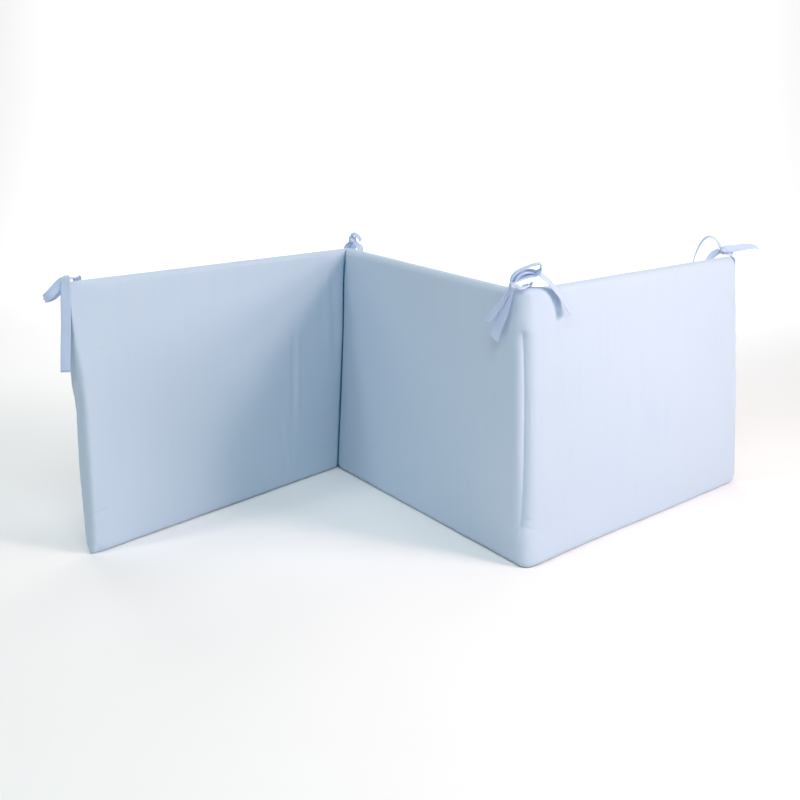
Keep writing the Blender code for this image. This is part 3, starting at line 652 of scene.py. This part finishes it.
def detail(side, along, height):
    """How far the cloth stands off the even padding, in metres."""
    shift = SIDE_SHIFT * side
    total = creases(side, along, height) + seam_puckers(side, along, height)
    total = total + fold_puckers(along, height)
    for layer in FILLING_LAYERS:
        cells = (along / (MM * layer.cell_along) + shift, height / (MM * layer.cell_up))
        total = total + MM * layer.height * noise(layer.seed, *cells)
    return total


def edge_points(up):
    return FEET[None] + (up / STANDING_HEIGHT)[:, None, None] * LEANS[None]


def middle_line(points, panel, local, height):
    """Where the padding's middle is in plan, and the way to its front, with rounded folds."""
    rows = np.arange(len(panel))
    start, end = points[rows, panel], points[rows, panel + 1]
    direction = unit(end - start)
    place = start + (end - start) * (local / PANEL_LENGTH)[:, None]
    for edge in range(1, PANELS):
        past = local + (panel - edge) * PANEL_LENGTH
        reach_before, reach_after = bend_reach(edge, height)
        near = ((past > -reach_before) & (past < reach_after))[:, None]
        before = reach_before[:, None] * unit(points[:, edge] - points[:, edge - 1])
        after = reach_after[:, None] * unit(points[:, edge + 1] - points[:, edge])
        share = ((past + reach_before) / (reach_before + reach_after))[:, None]
        bent = points[:, edge] + after * share ** 2 - before * (1 - share) ** 2
        place = np.where(near, bent, place)
        turning = before * (1 - share) + after * share
        direction = np.where(near, unit(turning), direction)
    return place, np.stack([direction[:, 1], -direction[:, 0]], axis=1)


def inside_folds(place, points, panel, local, side, height):
    """Presses the two panels' cloth together into the crease on the inner side of each fold."""
    for edge in range(1, PANELS):
        if side == fold_front(edge):
            continue
        past = local + (panel - edge) * PANEL_LENGTH
        distance = np.abs(past)
        to_previous = unit(points[:, edge - 1] - points[:, edge])
        to_next = unit(points[:, edge + 1] - points[:, edge])
        inward = unit(to_previous + to_next)
        across = unit(to_next - inward * (to_next * inward).sum(1)[:, None])
        offset = place - points[:, edge]
        sign = np.where(panel >= edge, 1.0, -1.0)
        gap = CREASE_GAP / 2 * np.minimum(1.0, distance / SETTLE)
        free = (offset * across).sum(1) * sign - gap
        reach = sum(bend_reach(edge, height)) / 2
        soft = CREASE_ROUND * ease(1 - distance / FOLD_REACH) * ease(distance / CREASE_ROUND_FROM)
        soft = soft * np.clip(FOLD_ROUND / reach, 0.0, 1.0) ** 2
        sideways = gap + (free + np.hypot(free, soft)) / 2
        end = np.full_like(local, PANEL_LENGTH)
        at_fold = half_thickness(side, np.full_like(panel, edge - 1), end, height)
        crease_foot = reach / 2 * (inward * to_previous).sum(1) + at_fold
        depth = (offset * inward).sum(1)
        depth = np.where(free < 0, np.maximum(depth, crease_foot + CREASE_CREEP * distance), depth)
        sideways = sideways * sign
        if edge == FRONT_VALLEY:
            sway, middle, fade = CREASE_SWAY
            sway = sway * np.exp(-((height - middle) / fade) ** 2)
            sideways = sideways - sway * (1 - ease(distance / FOLD_REACH))
        pressed = points[:, edge] + inward * depth[:, None] + across * sideways[:, None]
        place = np.where((distance <= FOLD_REACH)[:, None], pressed, place)
    return place


def foot_kick(along, height):
    """How much of the push outward at the ridge's foot reaches each place."""
    past = along - (FRONT_VALLEY + 1) * PANEL_LENGTH
    before, after = np.exp(-(past / FOOT_KICK_BEFORE) ** 2), 1 - past / PANEL_LENGTH
    share = np.where(past < 0, before, after)
    return share * (1 - ease(height / FOOT_KICK_HEIGHT))


def stand(side, along, height, raised=0.0):
    """Where points of the flat cover are on the standing bumper, raised off its surface."""
    panel = np.minimum((along / PANEL_LENGTH + ROUNDING).astype(int), PANELS - 1)
    local = along - panel * PANEL_LENGTH
    half = half_thickness(side, panel, local, height)
    detail_share = np.minimum(1.0, half / DETAIL_HALF)
    half = half * corner_ears(along, height)
    half = half + (detail(side, along, height) + raised) * detail_share
    round_along, round_height = rounded_corner(along, height)
    notch = SEAM_NOTCH * np.exp(-(half / NOTCH_HALF) ** 2)
    local = local + round_along - along
    at_left, at_right = along < ROUNDING, along > COVER_LENGTH - ROUNDING
    local = local + notch * (at_left * 1.0 - at_right * 1.0)
    bow = END_BOW * np.sin(np.pi * height / COVER_HEIGHT)
    bow = bow + END_SWELL * ease((height - END_SWELL_FROM) / END_SWELL_FADE)
    local = np.where(panel == 0, local - bow * (1 - ease(local / BOW_FADE)), local)
    up = np.maximum(0.0, round_height - SETTLE - notch * (height > COVER_HEIGHT / 2))
    rise = 1 - ((along - RIDGE_RISE_AT) / RIDGE_RISE_REACH) ** 2
    up = up + RIDGE_RISE * np.clip(rise, 0.0, 1.0) ** 2 * ease((height - SEWN_TO) / RIDGE_RISE_FADE)
    points = edge_points(up)
    place, front = middle_line(points, panel, local, height)
    place = place + front * (side * half)[:, None]
    place = inside_folds(place, points, panel, local, side, height)
    place = place + foot_kick(along, height)[:, None] * np.array(FOOT_KICK)
    return np.column_stack([place, up])


def along_ridge_seam(along, height):
    """Slides the columns beside the ridge aside, so that the middle one follows the sewn line."""
    edge = FRONT_VALLEY + 1
    aside = (seam_along(edge, height) - edge * PANEL_LENGTH) * sewn_share(height)
    return along + aside * (1 - ease(np.abs(along - edge * PANEL_LENGTH) / SEAM_REACH))


def cover(material):
    columns, rows = cover_columns(), cover_rows()
    across, up = len(columns), len(rows)
    along, height = [grid.ravel() for grid in np.meshgrid(columns, rows, indexing="ij")]
    front_along = along_ridge_seam(along, height)
    sides = {1: stand(1, front_along, height), -1: stand(-1, along, height)}
    rim = np.zeros((across, up), dtype=bool)
    rim[0] = rim[-1] = True
    rim[:, 0] = rim[:, -1] = True
    front_index = np.arange(across * up).reshape(across, up)
    back_index = front_index.copy()
    back_index[~rim] = across * up + np.arange((~rim).sum())
    middle = (sides[1] + sides[-1]) / 2
    front = np.where(rim.ravel()[:, None], middle, sides[1])
    points = np.concatenate([front, sides[-1][~rim.ravel()]])
    front_flat, back_flat = np.column_stack([front_along, height]), np.column_stack([along, height])
    uvs = np.concatenate([front_flat, back_flat[~rim.ravel()] + (0.0, 0.6)])
    faces = []
    for index, turned in ((front_index, False), (back_index, True)):
        quads = np.stack([index[:-1, :-1], index[1:, :-1], index[1:, 1:], index[:-1, 1:]], axis=-1)
        quads = quads.reshape(-1, 4)
        faces += (quads[:, ::-1] if turned else quads).tolist()
    return new_mesh("padded_cover", points, faces, uvs, material)


def fold_stitches(material):
    """A row of stitches along the outer side of each sewn fold."""
    points, faces, uvs = [], [], []
    for edge in range(1, PANELS):
        side = fold_front(edge)
        heights = np.arange(SEWN_FROM + STITCH_MARGIN, SEWN_TO - STITCH_MARGIN, STITCH_STEP)
        along = seam_along(edge, heights)
        low = stand(side, along, heights)
        high = stand(side, seam_along(edge, heights + STITCH_LENGTH), heights + STITCH_LENGTH)
        out = stand(side, along, heights, raised=MM) - low
        for start, end, outward in zip(low, high, unit(out)):
            add_stitch(points, faces, uvs, start, end, outward)
    return new_mesh("fold_stitching", np.array(points), faces, np.array(uvs), material)


def add_stitch(points, faces, uvs, start, end, outward):
    """One thread stitch: a small rounded bar that dips into the cloth at both ends."""
    run = end - start
    sideways = unit(np.cross(run, outward))
    first = len(points)
    for share, height, thickness in STITCH_SHAPE:
        middle = start + run * share + outward * height * STITCH_RADIUS
        for turn in range(STITCH_SIDES):
            angle = 2 * math.pi * turn / STITCH_SIDES
            ring = math.cos(angle) * sideways + math.sin(angle) * outward
            points.append(middle + STITCH_RADIUS * thickness * ring)
            uvs.append((share * STITCH_LENGTH, turn * STITCH_RADIUS))
    faces += [face[::-1] for face in tube_faces(len(STITCH_SHAPE), STITCH_SIDES, first)]
    last = first + (len(STITCH_SHAPE) - 1) * STITCH_SIDES
    faces.append(tuple(first + turn for turn in reversed(range(STITCH_SIDES))))
    faces.append(tuple(last + turn for turn in range(STITCH_SIDES)))


# ---- the ties ----

def on_curve(values, positions):
    """A smooth curve through rows of values, at positions counted in rows."""
    values = np.concatenate([[2 * values[0] - values[1]], values, [2 * values[-1] - values[-2]]])
    index = np.minimum(positions.astype(int), len(values) - 4)
    share = (positions - index).reshape(-1, *[1] * (values.ndim - 1))
    before, start, end, after = (values[index + step] for step in range(4))
    return 0.5 * (
        2 * start
        + (end - before) * share
        + (2 * before - 5 * start + 4 * end - after) * share ** 2
        + (3 * start - before - 3 * end + after) * share ** 3
    )


def tube_faces(rings, around, first):
    """Faces between rings of points that follow each other from the first point on."""
    faces = []
    for ring in range(rings - 1):
        for step in range(around):
            a, b = (first + ring * around + turn % around for turn in (step, step + 1))
            faces.append((a, a + around, b + around, b))
    return faces


def strip(route, origin, seed, first, slant, folded):
    """Tape along its route: its points, faces and places on the flat tape, and its length."""
    table = np.array(route, dtype=float)
    spans = len(route) - 1
    positions = np.linspace(0.0, spans, spans * TAPE_SECTIONS + 1)
    middles = origin + MM * on_curve(table[:, :3], positions)
    tangents = unit(np.gradient(middles, axis=0))
    facing = on_curve(unit(table[:, 3:6]), positions)
    across = unit(np.cross(tangents, facing))
    outward = unit(np.cross(across, tangents))
    widths = np.clip(MM * on_curve(table[:, 6:7], positions)[:, 0], TAPE_LEAST_WIDTH, TAPE_WIDTH)
    lengths = np.append(0.0, np.cumsum(np.linalg.norm(np.diff(middles, axis=0), axis=1)))
    share = np.linspace(-1.0, 1.0, TAPE_ACROSS)
    spare = np.clip((TAPE_WIDTH / widths) ** 2 - 1, 0.0, PLEAT_LIMIT)
    pleats = PLEAT_HEIGHT * widths * np.sqrt(spare)
    wave = np.sin(share * PLEATS * math.pi + PLEAT_SHIFT * seed)[None] * pleats[:, None]
    height, run = TAPE_CURL
    curl = height * noise(seed + 80, lengths / run, lengths * 0)[:, None] * (share ** 2)[None]
    height, run = TAPE_RIPPLE
    ripple = height * noise(seed + 90, lengths[:, None] / run, share[None] * 1.5)
    lift = wave + curl + ripple - folded * np.abs(share)[None] * widths[:, None] / 2
    hem = UNHEMMED + (1 - UNHEMMED) * ease((np.abs(share) - HEM_FROM) / HEM_FADE)
    hem = TAPE_THICKNESS / 2 * hem * np.where(np.abs(share) > 1 - ROUNDING, OUTER_EDGE, 1.0)
    end_shift = slant * ease(positions - spans + 1)[:, None] * share[None] * TAPE_WIDTH / 2
    sides = (share[None] * widths[:, None] / 2)[..., None] * across[:, None]
    base = middles[:, None] + sides + lift[..., None] * outward[:, None]
    base = base + end_shift[..., None] * tangents[:, None]
    top = base + hem[None, :, None] * outward[:, None]
    bottom = base - hem[None, :, None] * outward[:, None]
    rings = np.concatenate([top, bottom[:, ::-1]], axis=1)
    points = rings.reshape(-1, 3)
    flat_across = np.concatenate([share, share[::-1]]) * TAPE_WIDTH / 2 + TAPE_WIDTH / 2
    uvs = np.stack(np.broadcast_arrays(flat_across[None], lengths[:, None]), axis=-1).reshape(-1, 2)
    around = 2 * TAPE_ACROSS
    faces = tube_faces(len(positions), around, first)
    last = first + (len(positions) - 1) * around
    for step in range(TAPE_ACROSS - 1):
        a, b = step, step + 1
        c, d = around - 1 - b, around - 1 - a
        faces.append((first + a, first + b, first + c, first + d))
        faces.append((last + d, last + c, last + b, last + a))
    return (points, faces, uvs), lengths[-1]


def knot(size, origin, first):
    """Tape wound tight on itself: rounded turns with sharp grooves between them."""
    polar = np.linspace(0.0, math.pi, KNOT_RINGS)[:, None]
    angle = np.linspace(0.0, 2 * math.pi, KNOT_AROUND, endpoint=False)[None]
    shape = np.stack(np.broadcast_arrays(
        np.cos(polar), np.sin(polar) * np.cos(angle), np.sin(polar) * np.sin(angle)
    ), axis=-1)
    turn = np.arctan2(shape[..., 1], shape[..., 2])
    phase = (KNOT_RIDGES * turn + KNOT_RIDGE_SLANT * shape[..., 0]) / 2
    ridges = KNOT_RIDGE_HEIGHT * np.abs(np.cos(phase)) ** KNOT_RIDGE_POWER
    turns = 1 + (ridges - KNOT_GROOVE_DEPTH) * np.sin(polar)
    turns = turns + KNOT_UNEVEN * noise(5 + first, shape[..., 0] * 4 + 9, turn * 2 + 9)
    shape = shape * turns[..., None]
    shape = shape * MM * np.array((size.half_right, size.half_back, size.half_up))
    spin = np.array(Matrix.Rotation(math.radians(size.turn), 3, "Y"))
    place = origin + MM * np.array((size.right, size.back, size.up))
    points = shape.reshape(-1, 3) @ spin.T + place
    uvs = np.stack(np.broadcast_arrays(polar, angle), axis=-1).reshape(-1, 2) * KNOT_CLOTH
    return points, tube_faces(KNOT_RINGS, KNOT_AROUND, first), uvs


def tie(edge, material):
    """One knotted tie: its lengths of tape and its knot. Gives the piece and its tape's length."""
    name = EDGE_NAMES[edge]
    top = edge_points(np.array([STANDING_HEIGHT]))[0, edge]
    origin = np.array((top[0], top[1], STANDING_HEIGHT))
    parts, count, length = [], 0, KNOT_TAPE_LENGTH
    routes = [(key[1], route) for key, route in TAPE_ROUTES.items() if key[0] == name]
    for number, (part, route) in enumerate(routes):
        slant = TAPE_ENDS.get((name, part), 0.0)
        folded = TAPE_FOLDS.get((name, part), 0.0)
        made, run = strip(route, origin, 10 * edge + number, count, slant, folded)
        parts.append(made)
        count += len(made[0])
        length += run
    points, faces, uvs = zip(*parts, knot(KNOTS[name], origin, count))
    points, faces, uvs = np.concatenate(points), sum(faces, []), np.concatenate(uvs)
    return new_mesh(f"tape_tie_{name}", points, faces, uvs, material), length


# ---- materials ----

class Nodes:
    """Builds one material's nodes."""

    def __init__(self, name):
        self.material = bpy.data.materials.new(name)
        self.material.use_nodes = True
        self.tree = self.material.node_tree
        self.shader = self.tree.nodes["Principled BSDF"]

    def add(self, kind, inputs=(), **settings):
        node = self.tree.nodes.new(kind)
        for key, value in settings.items():
            setattr(node, key, value)
        self.fill(node, dict(inputs))
        return node

    def fill(self, node, inputs):
        """Links a node's inputs or sets their values."""
        for key, value in inputs.items():
            if isinstance(value, bpy.types.NodeSocket):
                self.tree.links.new(value, node.inputs[key])
            else:
                node.inputs[key].default_value = value

    def math(self, operation, first, second=0.0):
        return self.add("ShaderNodeMath", {0: first, 1: second}, operation=operation).outputs[0]

    def total(self, *parts):
        """The sum of values, each times its share."""
        values = [self.math("MULTIPLY", value, share) for value, share in parts]
        result = values[0]
        for value in values[1:]:
            result = self.math("ADD", result, value)
        return result

    def mix(self, share, first, second):
        node = self.add("ShaderNodeMix", {0: share, 6: first, 7: second}, data_type="RGBA")
        return node.outputs[2]

    def scaled(self, vector, along, up):
        node = self.add("ShaderNodeMapping", {"Vector": vector, "Scale": (along, up, 1.0)})
        return node.outputs[0]

    def ranged(self, value, start, end, low, high):
        inputs = {0: value, 1: start, 2: end, 3: low, 4: high}
        return self.add("ShaderNodeMapRange", inputs).outputs[0]

    def noise(self, vector, detail=2.0):
        inputs = {"Vector": vector, "Scale": 1.0, "Detail": detail, "Roughness": 0.55}
        return self.add("ShaderNodeTexNoise", inputs, noise_dimensions="2D").outputs[0]


def rgba(colour):
    return (*colour, 1.0)


def cotton(name, colour, deep, sheen, stitched_edges=False):
    """Plain woven cotton: crossing threads, slubs, faint streaks and a matt, fuzzy face; on the
    cover, painted shade in the left fold's crease.
    """
    nodes = Nodes(name)
    flat = nodes.add("ShaderNodeTexCoord").outputs["UV"]
    split = nodes.add("ShaderNodeSeparateXYZ", {0: flat})
    x, y = split.outputs[0], split.outputs[1]
    warp = nodes.math("SINE", nodes.math("MULTIPLY", x, 2 * math.pi / WEAVE_PITCH))
    weft = nodes.math("SINE", nodes.math("MULTIPLY", y, 2 * math.pi / WEAVE_PITCH))
    weave = nodes.math("MULTIPLY", warp, weft)
    slub_up = nodes.noise(nodes.scaled(flat, *SLUBS))
    slub_along = nodes.noise(nodes.scaled(flat, *SLUBS[::-1]))
    slubs = nodes.math("ADD", slub_up, slub_along)
    streaks = nodes.noise(nodes.scaled(flat, *STREAKS), 3.0)
    clouds = nodes.noise(nodes.scaled(flat, *CLOUDS), 3.0)
    shade = nodes.total((slubs, SLUB_SHADE), (streaks, STREAK_SHADE), (clouds, CLOUD_SHADE))
    face = nodes.mix(nodes.ranged(shade, 0.55, 0.95, 0.0, 1.0), rgba(deep), rgba(colour))
    relief = [(weave, WEAVE_HEIGHT), (slubs, SLUB_HEIGHT)]
    if stitched_edges:
        line = stitch_line(nodes, x, y)
        face = nodes.mix(nodes.math("MULTIPLY", line, THREAD_SHOWS), face, rgba(THREAD_BLUE))
        relief.append((line, THREAD_HEIGHT))
    else:
        # Painted shade: the cloth inside the left fold's crease is coloured deep blue.
        face = nodes.mix(painted_crease_shade(nodes, x, y), face, rgba(CREASE_PAINTED_SHADE))
    bump = {"Height": nodes.total(*relief), "Strength": 0.22, "Distance": 0.00025}
    nodes.fill(nodes.shader, {
        "Base Color": face,
        "Roughness": nodes.ranged(slubs, 0.7, 1.3, 0.78, 0.92),
        "Normal": nodes.add("ShaderNodeBump", bump).outputs[0],
        "Sheen Weight": sheen,
        "Sheen Roughness": 0.45,
        "Sheen Tint": (0.85, 0.90, 1.0, 1.0),
        "Specular IOR Level": 0.25,
    })
    if stitched_edges:
        let_light_through(nodes)
    return nodes.material


def let_light_through(nodes):
    """Thin cloth: part of the light goes through it, scattered, and comes out bluer."""
    through = nodes.add("ShaderNodeBsdfTranslucent", {"Color": rgba(THROUGH_BLUE)}).outputs[0]
    cloth = nodes.shader.outputs[0]
    both = nodes.add("ShaderNodeMixShader", {0: TAPE_THIN, 1: cloth, 2: through}).outputs[0]
    nodes.fill(nodes.tree.nodes["Material Output"], {"Surface": both})


def painted_crease_shade(nodes, x, y):
    """1 on the cloth that is pressed together inside the left fold, where the crease's shade is
    painted in deep blue.
    """
    off_fold = nodes.math("ABSOLUTE", nodes.math("SUBTRACT", x, FRONT_VALLEY * PANEL_LENGTH))
    close = nodes.ranged(off_fold, *CREASE_SHADE_REACH, 1.0, 0.0)
    return nodes.math("MULTIPLY", close, nodes.ranged(y, *CREASE_SHADE_TOP, 1.0, 0.0))


def stitch_line(nodes, x, y):
    """1 on the dashed thread line beside each edge of a tape."""
    from_edge = nodes.math("MINIMUM", x, nodes.math("SUBTRACT", TAPE_WIDTH, x))
    off_line = nodes.math("ABSOLUTE", nodes.math("SUBTRACT", from_edge, HEM_STITCH_IN))
    on_line = nodes.math("LESS_THAN", off_line, HEM_STITCH_HALF)
    place = nodes.math("FRACT", nodes.math("DIVIDE", y, HEM_STITCH_STEP))
    return nodes.math("MULTIPLY", on_line, nodes.math("LESS_THAN", place, HEM_STITCH_SHARE))


def thread(name, colour):
    nodes = Nodes(name)
    flat = nodes.add("ShaderNodeTexCoord").outputs["Object"]
    twist = nodes.noise(nodes.scaled(flat, THREAD_TWISTS, THREAD_TWISTS))
    dark = tuple(THREAD_DARK * value for value in colour)
    face = nodes.mix(twist, rgba(dark), rgba(colour))
    nodes.fill(nodes.shader, {"Base Color": face, "Roughness": 0.6, "Sheen Weight": 0.2})
    return nodes.material


def floor_material():
    nodes = Nodes("pale_floor")
    looks = {"Base Color": rgba(FLOOR_WHITE), "Roughness": 0.9, "Specular IOR Level": 0.1}
    nodes.fill(nodes.shader, looks)
    return nodes.material


# ---- floor, light and camera ----

def floor(material):
    """A pale floor that curves up into a backdrop far behind the object."""
    wide, near, far, radius, top = 7.0, -6.0, 5.0, 1.6, 4.5
    profile = [(near, 0.0), (far - radius, 0.0)]
    for degrees in range(6, 91, 6):
        angle = math.radians(degrees)
        profile.append((far - radius + radius * math.sin(angle), radius - radius * math.cos(angle)))
    profile.append((far, top))
    drop = -0.0006
    points = np.array([(x, y, z + drop) for y, z in profile for x in (-wide, wide)])
    faces = [(2 * i, 2 * i + 1, 2 * i + 3, 2 * i + 2) for i in range(len(profile) - 1)]
    new_mesh("floor", points, faces, points[:, :2], material)


def lamp(name, facts):
    light = bpy.data.lights.new(name, "AREA")
    light.shape = "DISK"
    light.size = facts.size
    light.energy = facts.power
    light.color = facts.colour
    bearing, rise = math.radians(facts.bearing), math.radians(facts.rise)
    level = Vector((math.sin(bearing), -math.cos(bearing), 0.0))
    way = math.cos(rise) * level + Vector((0.0, 0.0, math.sin(rise)))
    place = Vector(LAMP_AIM) + facts.distance * way
    aim = Vector(BACKDROP_AIM if name == "backdrop" else LAMP_AIM)
    obj = new_object(name, light)
    obj.location = place
    obj.rotation_euler = (aim - place).to_track_quat("-Z", "Y").to_euler()


def world_light():
    world = bpy.data.worlds.new("soft_room")
    world.use_nodes = True
    background = world.node_tree.nodes["Background"]
    background.inputs["Color"].default_value = rgba(WORLD_WHITE)
    background.inputs["Strength"].default_value = WORLD_STRENGTH
    bpy.context.scene.world = world


def camera():
    data = bpy.data.cameras.new("camera")
    data.sensor_width = 36.0
    data.lens = CAMERA_LENS
    data.clip_start, data.clip_end = 0.05, 50.0
    down, left, roll = CAMERA_DOWN, CAMERA_LEFT, CAMERA_ROLL
    ahead = Vector((-math.sin(left), math.cos(left), 0.0))
    look = math.cos(down) * ahead - Vector((0.0, 0.0, math.sin(down)))
    level = Vector((math.cos(left), math.sin(left), 0.0))
    over = level.cross(look)
    right = math.cos(roll) * level + math.sin(roll) * over
    up = math.cos(roll) * over - math.sin(roll) * level
    turn = Matrix((right, up, -look)).transposed().to_4x4()
    obj = new_object("camera", data)
    obj.matrix_world = Matrix.Translation(CAMERA_PLACE) @ turn
    bpy.context.scene.camera = obj


def main():
    cover_cotton = cotton("cover_cotton", COVER_BLUE, COVER_DEEP, 0.25)
    tape_cotton = cotton("tape_cotton", TAPE_BLUE, TAPE_DEEP, 0.2, stitched_edges=True)
    pad = cover(cover_cotton)
    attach(pad, "root")
    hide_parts("bumper_pad")
    stitching = fold_stitches(thread("fold_thread", THREAD_BLUE))
    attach(stitching, "root")
    for edge, name in enumerate(EDGE_NAMES):
        piece, length = tie(edge, tape_cotton)
        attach(piece, "root")
        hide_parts(f"tie_{name}")
    floor(floor_material())
    for name, facts in LAMPS.items():
        lamp(name, facts)
    world_light()
    camera()


main()
bpy.context.scene.view_settings.view_transform = "Standard"
